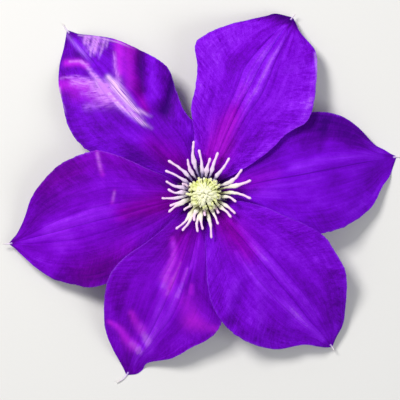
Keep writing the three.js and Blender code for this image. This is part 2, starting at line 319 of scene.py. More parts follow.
# Each sepal is told in mm and degrees. left and right are half-widths at the other stations, looking out from
# the axis along the heading, and bow bends the blade sideways.
# tip is the height of the tip before it is pressed flat, and lifts are 1 where the left or right side laps
# over its neighbour. wave is the height, count and two phases of the margin's waves, and point the length
# and bend of the bristle.
# ribs is the strength of the relief, creases those of the lines of painted shade in the grooves in the middle
# and at the sides, and nap that of the puckers and pile. depth darkens the whole face, partly painted shade
# that evens out the key lamp's fall across the flower, and warmth reddens it.
# A mark is a soft stroke on the face: its amount, its width at its start and at its end, and its points from
# the axis. bleach is pale threads along the blade, fan pale strands that slant across it, scratch a fine mix
# of the two, magenta and blush are redder, dark is painted shade and shadow in folds, creases and under the
# neighbours' margins, light is painted highlight on ridges and lit bands, both with some of the blade's own
# uneven tone, and raise lifts the blade.
markKinds = ("bleach", "fan", "scratch", "magenta", "blush", "dark", "light", "raise")
bladeLayers = (
    "tone", "blush", "magenta", "bleach", "fan", "shift", "wander", "nap",
    "midCrease", "sideCrease", "alongBlade", "acrossBlade",
)
sepals = [
    {
        "heading": 130.1, "length": 73, "bow": 0, "tip": -2.2, "rests": True, "lifts": (0, 0),
        "left": [6.8, 12.2, 16, 19.5, 21.5, 20.5, 17, 14, 9.5, 4.7, 2],
        "right": [6.8, 12.2, 12.8, 15.2, 17.9, 16.2, 13.2, 10.1, 5.9, 2.6, 1.2],
        "wave": (1.1, 2.9, 0.15, 0.55), "point": (3.1, -0.45),
        "ribs": 0.6, "creases": (0.8, 0.4), "nap": 0.75, "depth": 0.16, "warmth": 0,
        "bleach": [
            (0.45, 0.4, 0.9, (-38.6, 41.2), (-33.7, 35.8)),
            (0.7, 1, 0.6, (-33.7, 35.6), (-28.8, 30), (-20.6, 23.6), (-17.8, 21.9)),
            (0.9, 1, 1.35, (-32.4, 39), (-29.9, 36.4)),
            (1.05, 1.4, 0.5, (-29.9, 36.4), (-26.5, 32), (-23.6, 28.4), (-18, 25.8)),
            (0.4, 0.7, 0.4, (-31, 35.4), (-25, 29.4), (-19.6, 24.8)),
            (0.5, 1.4, 1.3, (-36.2, 37), (-33, 33)), (0.22, 0.4, 0.5, (-46, 45), (-42.5, 45), (-39.6, 43)),
            (0.14, 0.6, 0.8, (-48.5, 56), (-43, 49.6), (-38.5, 44.6)),
            (0.4, 0.35, 0.3, (-43, 54.4), (-35.9, 53.2), (-29.1, 51.4), (-23.5, 49)),
            (0.35, 0.4, 0.35, (-49.4, 36), (-48.6, 31), (-46.9, 27)),
        ],
        "fan": [
            (0.72, 0.4, 1, (-42, 45), (-40.3, 44), (-37.8, 40.6), (-33.7, 35.6)),
            (0.6, 2.1, 0.9, (-33.2, 34.6), (-28, 29.8), (-21.5, 24.8)),
            (0.6, 2.4, 1.1, (-34.5, 35), (-38.5, 36.8), (-44.6, 37.6)),
            (0.42, 2.4, 1, (-33.5, 33.4), (-37, 33.8), (-41, 34)),
            (0.27, 2.2, 1.4, (-31.5, 31), (-36, 30.2), (-39.6, 29.4)),
            (0.45, 0.4, 1.1, (-30.5, 48), (-30.1, 43), (-29, 38.2)),
            (0.4, 0.4, 0.7, (-49, 39.2), (-43.5, 39.6), (-38, 37.8)),
            (0.3, 1.6, 1, (-40.2, 53), (-39.8, 49)), (0.36, 2.2, 1, (-36.2, 52.6), (-37, 48)),
        ],
        "scratch": [
            (0.75, 0.5, 0.45, (-40.6, 54), (-40.9, 50.4)), (0.7, 0.5, 0.3, (-39.4, 54), (-39.8, 50)),
            (0.85, 0.5, 0.3, (-37.4, 54), (-38.1, 50), (-38.9, 47.4)),
            (0.9, 0.55, 0.45, (-36.2, 53.6), (-37, 50), (-37.6, 46.8)),
            (0.45, 0.4, 0.3, (-38.9, 50), (-38.6, 46)),
            (0.6, 0.45, 0.3, (-34, 53), (-34.6, 49.6), (-35.9, 45.4)),
            (0.5, 0.35, 0.3, (-32.9, 52.6), (-33.4, 49)),
        ],
        "magenta": [
            (1, 1.3, 1, (-47, 44.6), (-42.5, 44.6), (-40, 43.4)),
            (0.72, 2.4, 1.5, (-50, 36.8), (-44, 37.2), (-38.5, 36.4)),
            (0.45, 3.2, 2.6, (-43, 34), (-33, 32.5)),
            (0.8, 1.8, 1.1, (-29.2, 52), (-28.9, 46), (-28.6, 40.5)),
            (0.4, 2.6, 1.8, (-25.8, 50.5), (-26, 44), (-25.4, 36)),
        ],
        "blush": [
            (0.9, 3, 1.4, (-25.2, 50), (-25, 42), (-22.4, 33.5), (-19.5, 28)),
            (0.45, 3.5, 4.5, (-18, 17), (-5, 7)),
        ],
        "dark": [
            (1.2, 1.4, 2, (-21.8, 48), (-21.4, 42), (-20.6, 35)),
            (1.3, 1.8, 2.2, (-10.3, 38.4), (-11.2, 34), (-12.9, 28)), (0.3, 3.5, 3, (-26, 11.5), (-13, 9.5)),
            (0.5, 1.3, 1.5, (-43.8, 47.4), (-41, 47), (-38.6, 45)),
        ],
        "light": [
            (0.7, 2.2, 2.6, (-17.2, 46), (-16.4, 33)), (0.4, 2.6, 3, (-10, 27), (-6, 22)),
            (0.35, 2.2, 2.2, (-7.5, 14), (-13, 22)), (0.35, 2, 2, (-19.2, 37), (-18.4, 31)),
            (0.35, 3, 2, (-38, 19), (-26, 19.5), (-18, 18)),
            (0.6, 0.8, 1, (-48.5, 56), (-43, 49.6), (-37.5, 43.6)),
        ],
        "raise": [
            (-1.7, 1.8, 2.4, (-21.8, 49), (-20.6, 34)), (1.2, 2.4, 2.6, (-17, 47), (-16.4, 32)),
            (-1.3, 2, 2.4, (-10.2, 38), (-13, 27)), (0.7, 2, 2, (-47, 37.6), (-38, 37.4)),
            (-0.5, 1.6, 1.6, (-45, 42), (-39.5, 41)),
        ],
    },
    {
        "heading": 63.3, "length": 67.4, "bow": 2.4, "tip": 2, "rests": False, "lifts": (1, 1),
        "left": [8.3, 12.3, 16.7, 18.6, 21.1, 25.3, 22, 17.2, 11.8, 7.9, 5.5],
        "right": [6.2, 10.4, 13.7, 15.9, 20.1, 19.4, 17.2, 14.9, 11.8, 4.5, 2.1],
        "wave": (0.8, 2.4, 0.6, 0.1), "point": (1.7, -0.5),
        "ribs": 1.5, "creases": (1.0, 1.1), "nap": 1.1, "depth": -0.04, "warmth": 0.08,
        "bleach": [(0.3, 0.45, 0.3, (38, 47.6), (38.4, 40), (37.6, 30))],
        "magenta": [(0.35, 3, 1.8, (5.6, 15), (9.4, 25))],
        "blush": [
            (0.6, 4, 3.2, (3.6, 12), (7, 20), (10, 27)), (0.35, 6, 4.6, (2.6, 11), (6, 22)),
            (0.3, 2.6, 2.2, (9.6, 25), (13.4, 35)),
        ],
        "dark": [
            (1.3, 1.6, 2.8, (14, 60.8), (22, 61), (30.2, 59.4)),
            (0.5, 0.5, 0.5, (15.6, 34), (21.6, 46), (29, 57)), (0.35, 3, 3, (8.8, 43.5), (15.2, 49.3)),
            (0.5, 0.4, 0.5, (30, 58.6), (25.3, 57.5), (20.2, 55.2), (16.8, 52.4)),
            (0.5, 0.4, 0.5, (30, 57.6), (25.8, 55.2), (21.9, 52.4), (18.2, 48.6)),
            (0.5, 0.4, 0.5, (30.5, 56.5), (27.5, 51.4), (25.3, 46.9), (22.6, 42)),
            (0.5, 0.4, 0.5, (31.3, 56), (29.8, 50.9), (28.5, 46.4)),
            (0.35, 2.4, 3.4, (13, 15), (22, 21.5), (29, 25.4)), (0.5, 1.6, 1.8, (6.5, 11.5), (9.5, 17)),
        ],
        "light": [
            (0.5, 0.7, 0.5, (14, 34), (20, 46), (28, 57)), (0.4, 0.7, 0.5, (17, 34), (23, 45.5), (29.4, 56)),
            (0.4, 0.5, 0.6, (28.6, 57.3), (23.6, 54.4), (19.4, 51.4)),
            (0.4, 0.5, 0.6, (30.4, 54), (28, 49), (26.4, 45)), (0.25, 2.6, 3, (-3, 28), (-1, 36), (6.4, 42)),
            (0.15, 3, 2, (-2, 50), (8, 55)), (0.4, 1.6, 1.6, (33, 24), (37, 33), (37.5, 45)),
            (0.4, 1, 0.8, (14.6, 9.6), (22.9, 16.3), (29.6, 22.3)), (0.3, 2.4, 2.4, (31, 29), (36, 30)),
        ],
        "raise": [
            (0.8, 4, 4, (30, 24), (36, 34)), (-0.8, 3, 3.4, (-5, 42.5), (8, 41)),
            (0.6, 3.6, 3.6, (-3, 50), (6, 52)), (-0.5, 1.6, 2, (24, 39), (35, 42)),
        ],
    },
    {
        "heading": 10.7, "length": 67.3, "bow": 0, "tip": -2.2, "rests": True, "lifts": (0, 0),
        "left": [6.2, 11.4, 15.5, 18.5, 20, 19.8, 17.2, 12.4, 5.5, 3, 1.2],
        "right": [6.2, 11.5, 16, 19.3, 20.8, 20.3, 18.1, 14.9, 9.2, 6, 2.7],
        "wave": (0.8, 2.6, 0.35, 0.8), "point": (1.3, -0.3),
        "ribs": 0.35, "creases": (1.1, 0.4), "nap": 0.5, "depth": 0.07, "warmth": 0,
        "blush": [(0.3, 3.2, 2.4, (9, 2.5), (24, 6.5))],
        # painted shadow under the second sepal's margin, and painted shade along the border with the fourth,
        # in a fold and near the tip
        "dark": [
            (0.8, 4.6, 5.5, (39, 24), (42.3, 24), (53, 19.7)), (0.4, 3.5, 4.5, (33, 20.5), (38, 23)),
            (0.45, 1.2, 1.4, (12, -2.6), (18, -4.6)), (0.6, 1.8, 1.6, (41, 24), (39.2, 15.2)),
            (0.4, 1.8, 2.2, (56, 4), (60.5, 7.8)),
        ],
        "light": [
            (0.6, 1.4, 2, (30, 8.4), (38, 11), (48, 12.4), (60, 13.2)),
            (0.3, 1.6, 1.6, (30.9, 3.3), (42.3, 5.2)), (0.45, 1, 1, (58, -1.5), (64.4, 7.8)),
            (0.35, 3.4, 5, (16, 0), (26, 0), (36, -3)),
        ],
        "raise": [
            (-0.6, 4, 4.5, (38.5, 25), (37, 14)), (0.5, 3.6, 4, (34, 10.4), (58, 13.4)),
            (-0.5, 2.6, 2.6, (55, 3), (60, 7.5)),
        ],
    },
    {
        "heading": -50.2, "length": 68.6, "bow": 0, "tip": 1.8, "rests": False, "lifts": (1, 1),
        "left": [8, 12.9, 16.3, 19.8, 21.9, 21.2, 19.7, 15.8, 11.3, 7.5, 2.7],
        "right": [8, 13.4, 18.6, 22.1, 23.2, 22.3, 19.3, 14.8, 6.8, 3.8, 2],
        "wave": (0.9, 3.1, 0.9, 0.3), "point": (1.5, -0.3),
        "ribs": 0.7, "creases": (0.8, 0.7), "nap": 0.85, "depth": 0.04, "warmth": 0.08,
        "blush": [(0.62, 4.2, 3.6, (6, -9), (11, -15.5), (15, -20))],
        "dark": [
            (0.4, 1.2, 1, (8, -11), (13, -17.5), (18, -24)),
            (0.4, 1.6, 1.8, (14.2, -30.8), (11.6, -37), (10.6, -43)), (0.2, 1.6, 2, (23, -38), (23, -48)),
            (0.6, 3, 3.4, (42.5, -28), (43, -42)), (0.2, 3, 3, (29, -48), (37, -50)),
        ],
        "light": [
            (0.6, 1.4, 1.2, (11, -20.5), (19, -30.8), (29.7, -40), (40.4, -50)),
            (0.55, 1.6, 1, (16, -17.5), (25.8, -27.5), (33, -34.5), (40.5, -43)),
            (0.4, 1.6, 1.8, (10.8, -29.8), (8.4, -33.7), (7.4, -40)), (0.25, 1.8, 1.8, (19, -34), (18, -45)),
            (0.35, 4, 4, (23, -41), (30, -43)),
        ],
        "raise": [
            (-0.5, 2.2, 2.2, (13.6, -31), (11, -44)), (0.5, 2.2, 2.2, (9, -31), (6.6, -42)),
            (0.45, 2.2, 2.2, (18.5, -36), (17.5, -47)), (-0.6, 2.4, 2.4, (30, -43), (32, -53)),
        ],
    },
    {
        "heading": -113, "length": 67.9, "bow": 2.3, "tip": -2.2, "rests": True, "lifts": (0, 1),
        "left": [6.2, 11.4, 15.5, 19, 22.5, 21.3, 16, 11.8, 5, 4.2, 2.8],
        "right": [5.2, 8.2, 12, 16.2, 18.4, 17.6, 15.3, 12.5, 8.2, 4.2, 1.8],
        "wave": (0.9, 2.7, 0.1, 0.7), "point": (4, -2.4),
        "ribs": 0.6, "creases": (0.6, 0.6), "nap": 0.6, "depth": 0.12, "warmth": 0.22,
        "fan": [
            (0.07, 0.7, 1.3, (-10.4, -17), (-10.3, -21.8), (-11.8, -25.5), (-13.4, -28.4)),
            (0.1, 0.35, 0.6, (-8, -23.6), (-8.8, -25.8), (-10.2, -28.6), (-11, -31)),
            (0.1, 0.4, 0.6, (-5.7, -26), (-6.4, -27.9), (-7.5, -31), (-8.2, -33)),
            (0.12, 1, 1, (-24.6, -51.2), (-22.1, -53.7)),
            (0.1, 1.1, 0.9, (-21.5, -45.6), (-20.6, -47.8), (-19.3, -50.2)),
        ],
        "magenta": [
            (0.5, 0.9, 1.5, (-10.6, -15.6), (-10, -18.7), (-10.3, -21.8), (-11.8, -25.5), (-13.4, -28.8)),
            (0.42, 0.4, 0.9, (-7.8, -23), (-8.8, -25.8), (-10.2, -28.6), (-11.6, -32)),
            (0.35, 1.8, 1.8, (-11, -30), (-12.4, -33.6)), (0.25, 0.5, 0.8, (-5.6, -25.5), (-7, -29.5)),
            (0.45, 0.8, 1.1, (-4.2, -31.2), (-4.4, -33.4)), (0.4, 3.2, 3.6, (-6, -37), (-3.6, -43)),
            (0.5, 3, 1.4, (-4.4, -43.4), (0, -45.2), (3.8, -46.2)),
            (0.8, 0.8, 1.9, (-32.3, -43.8), (-30.3, -44.8), (-28.2, -46.8), (-26.4, -49.8), (-24.2, -52)),
            (0.7, 1.1, 1.8, (-24.6, -40.5), (-22.9, -43.9), (-21.3, -46.4)),
        ],
        "blush": [(0.45, 3.4, 3.4, (-8, -15), (-10.5, -27))],
        "dark": [
            (0.5, 0.5, 0.5, (-22.6, -50.4), (-20.4, -52.4), (-20.9, -54.4)),
            (0.2, 4, 3, (-28.6, -31), (-26.5, -40)), (0.5, 2, 2, (-6, -11), (-9.2, -15.4)),
        ],
        "light": [
            (0.85, 0.9, 1.5, (-10.4, -17), (-10, -18.7), (-10.3, -21.8), (-11.8, -25.5), (-14.4, -31)),
            (0.85, 0.4, 0.9, (-7.9, -23.4), (-8.8, -25.8), (-10.2, -28.6), (-12.2, -34)),
            (1.2, 0.5, 0.9, (-5.6, -25.4), (-6.4, -27.9), (-7.5, -31), (-8.8, -35)),
            (0.7, 1.6, 2, (-12.7, -32), (-17.2, -45), (-21.5, -54)),
            (0.55, 1.2, 1.4, (-9.4, -32), (-13.4, -45), (-18.1, -54)),
            (0.3, 2, 2.2, (-11, -30), (-16, -45), (-21, -58)),
            (0.4, 0.8, 1.6, (-30, -44.8), (-26.4, -49.8), (-24, -52)),
            (1.25, 1.3, 1.3, (-25, -51.2), (-22.2, -53.6)),
            (0.5, 0.6, 0.5, (-22.6, -54), (-23.4, -58), (-24.2, -61)),
            (1.15, 1.3, 1.4, (-21.8, -45), (-20.6, -47.8), (-19.2, -50.4)),
            (0.7, 1.1, 1.4, (-1.5, -14), (-2.7, -20.4), (-4.1, -24.8)),
            (0.4, 1.8, 2.2, (-0.7, -17), (-0.8, -27)), (0.35, 2, 2.2, (-10, -38), (-13, -48)),
        ],
        "raise": [
            (0.6, 1.6, 1.6, (-32, -44.2), (-23, -53.4)), (0.6, 3, 2.6, (-5, -41.5), (3.4, -46)),
            (-0.6, 2.2, 2, (-27, -41), (-21.5, -50)), (-0.5, 2.2, 2.2, (-12, -40), (-5, -50)),
        ],
    },
    {
        "heading": 194.6, "length": 68.9, "bow": 0, "tip": 2.2, "rests": False, "lifts": (0, 1),
        "left": [6.6, 11.6, 15.6, 19.2, 21.3, 21.3, 18.6, 15.3, 10.2, 5.2, 2],
        "right": [8, 13.4, 19, 22.8, 23, 21.6, 17.8, 13.3, 6.4, 2.6, 1.2],
        "wave": (0.9, 2.8, 0.5, 0), "point": (2.6, -0.7),
        "ribs": 0.7, "creases": (0.7, 0.6), "nap": 0.6, "depth": 0.12, "warmth": 0.2,
        "bleach": [(0.14, 0.5, 0.6, (-36, 13.4), (-34.6, 7)), (0.14, 0.4, 0.5, (-30.2, 0.2), (-30.8, -3))],
        "magenta": [
            (0.55, 0.6, 0.8, (-36.2, 14.6), (-35.3, 10), (-34.2, 6.2)),
            (0.5, 0.5, 0.6, (-30.1, 0.8), (-31, -3.5)),
        ],
        "blush": [
            (0.7, 3.4, 3.2, (-27, -6.9), (-11, -2.4)), (0.3, 5, 6, (-54, 4), (-34, 15), (-14, 11)),
            (0.35, 6, 5, (-40, -28), (-26, -20)),
        ],
        "dark": [
            (0.45, 0.6, 0.6, (-26, -8.4), (-12, -4.6)), (0.35, 0.5, 0.5, (-26, -4.4), (-12, -1.6)),
            (0.5, 1.8, 2.4, (-12, 3.2), (-20, 5.6)), (0.35, 2, 2, (-12, -3.2), (-19, -5)),
            (0.7, 3, 3.4, (-42.2, -28.5), (-34.2, -25.6)), (0.45, 4, 5, (-55.2, -2), (-43.9, 8)),
        ],
        "light": [
            (0.4, 0.7, 0.7, (-54, -11.4), (-40, -7)), (0.35, 0.7, 0.7, (-50, -13), (-38, -9.4)),
            (0.45, 2.6, 2.4, (-53, -12.5), (-42, -9), (-31, -6.2)),
            (0.35, 4, 3.6, (-38, 10), (-28, 2), (-20, 0)), (0.3, 1.4, 1.8, (-38, -5), (-28, -1.5)),
            (0.4, 3, 2.6, (-55, -22), (-45.6, -15.4)), (0.4, 2.2, 2.2, (-53.5, -28), (-47.8, -20)),
            (0.6, 1, 1.4, (-64.3, -17.7), (-52.4, -13.7)),
        ],
        "raise": [(-0.5, 3, 3, (-44, -29), (-38, -20)), (0.5, 3, 3, (-52, -28), (-47, -19))],
    },
]
sepalLooks = {
    "alongCuts": 180, "acrossCuts": 120,
    "crowding": 1.3,  # above 1 it draws the cuts towards the tip
    "thickness": 0.42,  # at the ribs, in mm, with this share of it at the margin
    "marginShare": 0.4,
    "rimWidth": 0.06, "rimAngle": 55,
    # the places of the grooves and ridges are in rib gaps from the middle, each groove with its strength
    "ribDepth": 0.26, "ribGap": 0.2, "ribWidth": 0.028,
    "pinch": 0.75, "pinchStart": 0.6,
    "grooves": [(-1.5, 0.3), (-1, 0.7), (-0.5, 0.4), (0, 1), (0.5, 0.4), (1, 0.7), (1.5, 0.3)],
    "ridges": (-0.5, 0.5),
    "wander": 0.02, "ragged": 0.011,
    "veinDepth": 0.06, "foldDepth": 0.16, "dentDepth": 0.3, "dentSize": 9, "slant": 0.17,
    # noises: scale along, scale across, detail and roughness
    "longVeins": (4, 20, 5, 0.6), "fineVeins": (9, 90, 2, 0.55), "clouds": (5, 3, 3, 0.55),
    "puckers": (110, 7, 3, 0.55), "bands": (24, 1.5, 3, 0.55), "backVeins": (6, 40, 5, 0.6),
    # the same in all directions: scale, detail and roughness
    "grain": (2600, 2, 0.5), "nap": (650, 4, 0.7),
    # how much each noise adds to the tone
    "veinTone": {"longVeins": 0.36, "fineVeins": 0.16},
    "pileTone": {"grain": 0.3, "nap": 0.36},
    "foldTone": {"puckers": 0.56, "bands": 0.42},
    "cloudTone": {"clouds": 0.62},
    # the level of each kind of mark, and the noises that break it up
    "brokenUp": {
        "blush": (1.0, {"longVeins": 1.1, "nap": 0.8}),
        "magenta": (1.0, {"longVeins": 1.1, "nap": 0.8}),
        "bleach": (0.95, {"fineVeins": 4.0, "longVeins": 1.8}),
        "fan": (0.95, {"puckers": 4.2, "nap": 1.4}),
    },
    "scratchBleach": 0.45, "scratchFan": 0.6,
    "lineShare": 0.55, "shadeUnderStamensShare": 0.85, "barShare": 0.55,
    "edgeStart": 0.97, "edgeFull": 0.995, "edgeLeast": 0.03, "edgeMost": 0.36,
    # colours are screen colours, and a stop is a place on the ramp and a colour
    "toneStops": [
        (0.0, 58, 2, 118), (0.25, 89, 3, 160), (0.5, 118, 9, 215),
        (0.75, 143, 36, 246), (1.0, 176, 92, 252),
    ],
    "warmStops": [
        (0.0, 84, 0, 112), (0.25, 110, 0, 144), (0.5, 137, 1, 184),
        (0.75, 162, 16, 214), (1.0, 196, 76, 238),
    ],
    "backStops": [(0.25, 112, 58, 176), (0.5, 142, 88, 206), (0.8, 178, 132, 226)],
    "rimStops": [(0.3, 98, 22, 192), (0.7, 132, 54, 224)],
    "magenta": (181, 30, 227), "bleach": (238, 194, 250), "fan": (204, 128, 246),
    # the groove line colour and the darkest colour are painted shade, in the grooves and on the sepal bases
    # under the stamens
    "edge": (154, 74, 232), "grooveShade": (72, 4, 140), "shadeUnderStamens": (44, 6, 66),
    "bar": (190, 166, 204),
}


def bowlHeight(r):
    rise = math.sin(math.pi / 2 * clamp((r - bowl["clawStart"]) / bowl["crownRun"]))
    fall = max(0, (r - bowl["fallStart"]) / bowl["fallRun"])
    return bowl["rootHeight"] + bowl["crownRise"] * rise - bowl["fallDepth"] * fall * fall


def strokeAmount(x, y, startWidth, endWidth, points, fading):
    # how strongly a soft tapered stroke covers a point, 1 on its line, and less at the end of a fading one
    cutOff = 6.0  # in squared widths
    nearest, progress = cutOff, 0.0
    steps = len(points) - 1
    for i in range(steps):
        (ax, ay), (bx, by) = points[i], points[i + 1]
        dx, dy = bx - ax, by - ay
        t = clamp(((x - ax) * dx + (y - ay) * dy) / (dx * dx + dy * dy))
        width = between(startWidth, endWidth, (i + t) / steps)
        gap = ((x - ax - t * dx) ** 2 + (y - ay - t * dy) ** 2) / (width * width)
        if gap < nearest:
            nearest, progress = gap, (i + t) / steps
    strength = math.exp(-nearest) if nearest < cutOff else 0.0
    return strength * (1 - 0.85 * smoothStep(progress, 0.6, 1)) if fading else strength


def gatherMarks(sepal, x, y):
    found = dict.fromkeys(markKinds, 0.0)
    for kind in markKinds:
        fading = kind in ("bleach", "scratch")
        for amount, startWidth, endWidth, *points in sepal.get(kind, []):
            found[kind] += amount * strokeAmount(x, y, startWidth, endWidth, points, fading)
    return found


def bladePoint(sepal, u, v):
    # the underside of a blade at u along and v across it, from -1 on the right margin to 1 on the left
    turn, onLeft = math.radians(sepal["heading"]), v >= 0
    along = u * sepal["length"]
    bow = sepal["bow"] * 4 * u * (1 - u)
    across = bow + v * (sepal["leftHalf"](u) - bow if onLeft else sepal["rightHalf"](u) + bow)
    row = 3 if v > 0 else 7
    ragged = noise.noise((u * 34, row, sepal["heading"])) + 0.6 * noise.noise((u * 90, row, sepal["heading"]))
    ragged *= sepalLooks["ragged"] * smoothStep(abs(v), 0.75, 1)
    across *= 1 + ragged * window(u, 0.15, 0.3, 0.9, 0.98)
    x = along * math.cos(turn) - across * math.sin(turn)
    y = along * math.sin(turn) + across * math.cos(turn)
    r = math.hypot(x, y)
    droop = max(0, (u - bowl["droopStart"]) / (1 - bowl["droopStart"])) ** 2
    leftLift, rightLift = sepal["lifts"]
    lift = between(rightLift, leftLift, smoothStep(v, -0.5, 0.5))
    margin = smoothStep(abs(v), 0.5, 1) * (leftLift if onLeft else rightLift)
    lap = bowl["levelStep"] * lift + bowl["lapRise"] * margin * window(u, *bowl["lapSpan"])
    height, count, phaseLeft, phaseRight = sepal["wave"]
    cycle = count * u + (phaseLeft if onLeft else phaseRight)
    wave = height * smoothStep(u, 0.55, 0.75) * abs(v) ** 3 * math.sin(2 * math.pi * cycle)
    z = bowlHeight(r) + smoothStep(r, bowl["levelFrom"], bowl["levelFull"]) * lap * (1 - droop)
    z += droop * (sepal["tip"] - bowlHeight(sepal["length"]))
    z += wave * (1 - smoothStep(u, 0.93, 1))
    marks = gatherMarks(sepal, x, y)
    z += marks["raise"] * window(u, 0.3, 0.45, 0.88, 0.97)
    z += ribRelief(sepal, u, v) + veinRelief(sepal, u, v, x, y)
    floor = 0 if sepal["rests"] else bowl["clearance"]
    over = clamp(0.5 + (z - floor) / (2 * bowl["pressure"]))
    z = floor + over * (z - floor) + bowl["pressure"] * over * (1 - over)
    return Vector((x + bowl["axis"][0], y + bowl["axis"][1], z)), marks


def ribWander(sepal, u, v):
    # how far the grooves stray from straight lines
    return sepalLooks["wander"] * noise.noise((u * 5, v * 2.5, sepal["heading"] + 2))


def ribGap(u):
    # the grooves draw together towards the tip
    return sepalLooks["ribGap"] * between(1, sepalLooks["pinch"], smoothStep(u, sepalLooks["pinchStart"], 1))


def ribRelief(sepal, u, v):
    # three strong grooves, with finer ones beside them, that run along two soft ridges to the tip
    looks, gap = sepalLooks, ribGap(u)
    v += ribWander(sepal, u, v)
    groove = sum(share * bell(v - place * gap, looks["ribWidth"]) for place, share in looks["grooves"])
    ridge = sum(bell(v - place * gap, gap * 0.4) for place in looks["ridges"])
    return sepal["ribs"] * looks["ribDepth"] * window(u, 0.1, 0.28, 0.86, 0.98) * (0.9 * ridge - groove)


def veinRelief(sepal, u, v, x, y):
    # veins along the blade, fine puckers and side folds that slant out to the margin, and slow dents
    looks, seed = sepalLooks, sepal["heading"]
    slanted = u - looks["slant"] * abs(v)
    side = smoothStep(abs(v), 0.25, 0.8)
    height = looks["veinDepth"] * noise.noise((u * 5, v * 21, seed))
    height += looks["veinDepth"] * side * noise.noise((slanted * 55, v * 3.5, seed + 5))
    height += looks["foldDepth"] * side * noise.noise((slanted * 21, v * 1.2, seed + 9))
    dent = noise.noise((x / looks["dentSize"], y / looks["dentSize"], seed))
    height += looks["dentDepth"] * smoothStep(u, 0.35, 0.6) * dent
    return window(u, 0.1, 0.25, 0.85, 0.98) * height


def bladePlace(tree):
    # along the blade from 0 to 1, and across it from -1 to 1
    blade = addNode(tree, "UVMap", uv_map="bladeMap")
    parts = addNode(tree, "SeparateXYZ", {0: blade.outputs[0]})
    return parts.outputs["X"], calc(tree, "MULTIPLY_ADD", parts.outputs["Y"], 2.0, -1.0)


def grooveShade(tree, along, across, place):
    # a thin line of painted shade in a groove, that runs with the blade to its tip and fades at both ends
    widest = sepalLooks["ribGap"]
    gap = ease(tree, along, sepalLooks["pinchStart"], 1.0, widest, sepalLooks["pinch"] * widest)
    offset = calc(tree, "ABSOLUTE", plus(tree, across, times(tree, gap, -place)))
    ends = times(tree, ease(tree, along, 0.1, 0.3), ease(tree, along, 0.9, 1.0, 1.0, 0.0))
    return times(tree, ease(tree, offset, 0.004, 0.022, 1.0, 0.0), ends)


def makeFaceMaterial():
    looks = sepalLooks
    material, tree, shader = newMaterial("sepalFace", 0.62, 0.03)
    along, across = bladePlace(tree)
    side = calc(tree, "ABSOLUTE", across)
    slanted = calc(tree, "MULTIPLY_ADD", side, -looks["slant"], along)
    noises = {key: streaks(tree, along, across, looks[key]) for key in ("longVeins", "fineVeins", "clouds")}
    noises |= {key: streaks(tree, slanted, across, looks[key]) for key in ("puckers", "bands")}
    noises |= {key: evenNoise(tree, *looks[key]) for key in ("grain", "nap")}

    sideways = ease(tree, side, 0.2, 0.8)
    folds = times(tree, mottled(tree, 0.0, noises, looks["foldTone"]), sideways)
    pile = plus(tree, mottled(tree, 0.0, noises, looks["pileTone"]), folds)
    tone = mottled(tree, 0.5, noises, looks["veinTone"])
    tone = plus(tree, tone, times(tree, pile, read(tree, "nap")))
    tone = plus(tree, mottled(tree, tone, noises, looks["cloudTone"]), read(tree, "tone"))
    colour = ramp(tree, tone, looks["toneStops"])

    warm = ramp(tree, tone, looks["warmStops"])
    for kind, (level, amounts) in looks["brokenUp"].items():
        share = times(tree, read(tree, kind), mottled(tree, level, noises, amounts), clamped=True)
        colour = mixColour(tree, share, colour, warm if kind == "blush" else looks[kind])
    strayed = plus(tree, across, read(tree, "wander"))
    # painted shade lines down the grooves, each as strong as its groove
    for place, strength in looks["grooves"]:
        crease = read(tree, "sideCrease" if place else "midCrease")
        line = times(tree, grooveShade(tree, along, strayed, place), crease)
        colour = mixColour(tree, times(tree, line, looks["lineShare"] * strength), colour, looks["grooveShade"])
    fringe = mottled(tree, side, noises, {"puckers": 0.06})
    patchy = ease(tree, noises["clouds"], 0.35, 0.65, looks["edgeLeast"], looks["edgeMost"])
    edge = times(tree, ease(tree, fringe, looks["edgeStart"], looks["edgeFull"]), patchy)
    colour = mixColour(tree, edge, colour, looks["edge"])
    # painted shade on the sepal bases, under and between the stamens
    shadeUnderStamens = times(tree, ease(tree, along, 0.15, 0.08), looks["shadeUnderStamensShare"])
    colour = mixColour(tree, shadeUnderStamens, colour, looks["shadeUnderStamens"])
    paint(tree, shader, colour)
    height = plus(tree, times(tree, noises["fineVeins"], 0.5), times(tree, noises["puckers"], sideways))
    addBump(tree, shader, height, 0.3)
    return material


def makeBackMaterial():
    material, tree, shader = newMaterial("sepalBack", 0.7, 0.2, 0.25)
    along, across = bladePlace(tree)
    looks, side = sepalLooks, calc(tree, "ABSOLUTE", across)
    veins = streaks(tree, along, across, looks["backVeins"])
    bar = times(tree, ease(tree, side, 0.3, 0.12), ease(tree, along, 1.0, 0.6))
    colour = ramp(tree, veins, looks["backStops"])
    colour = mixColour(tree, times(tree, bar, looks["barShare"]), colour, looks["bar"])
    paint(tree, shader, colour)
    addBump(tree, shader, veins, 0.4, 0.6)
    return material


def makeEdgeMaterial():
    material, tree, shader = newMaterial("sepalRim", 0.6, 0.15)
    colour = ramp(tree, evenNoise(tree, 600, 2), sepalLooks["rimStops"])
    paint(tree, shader, colour)
    return material


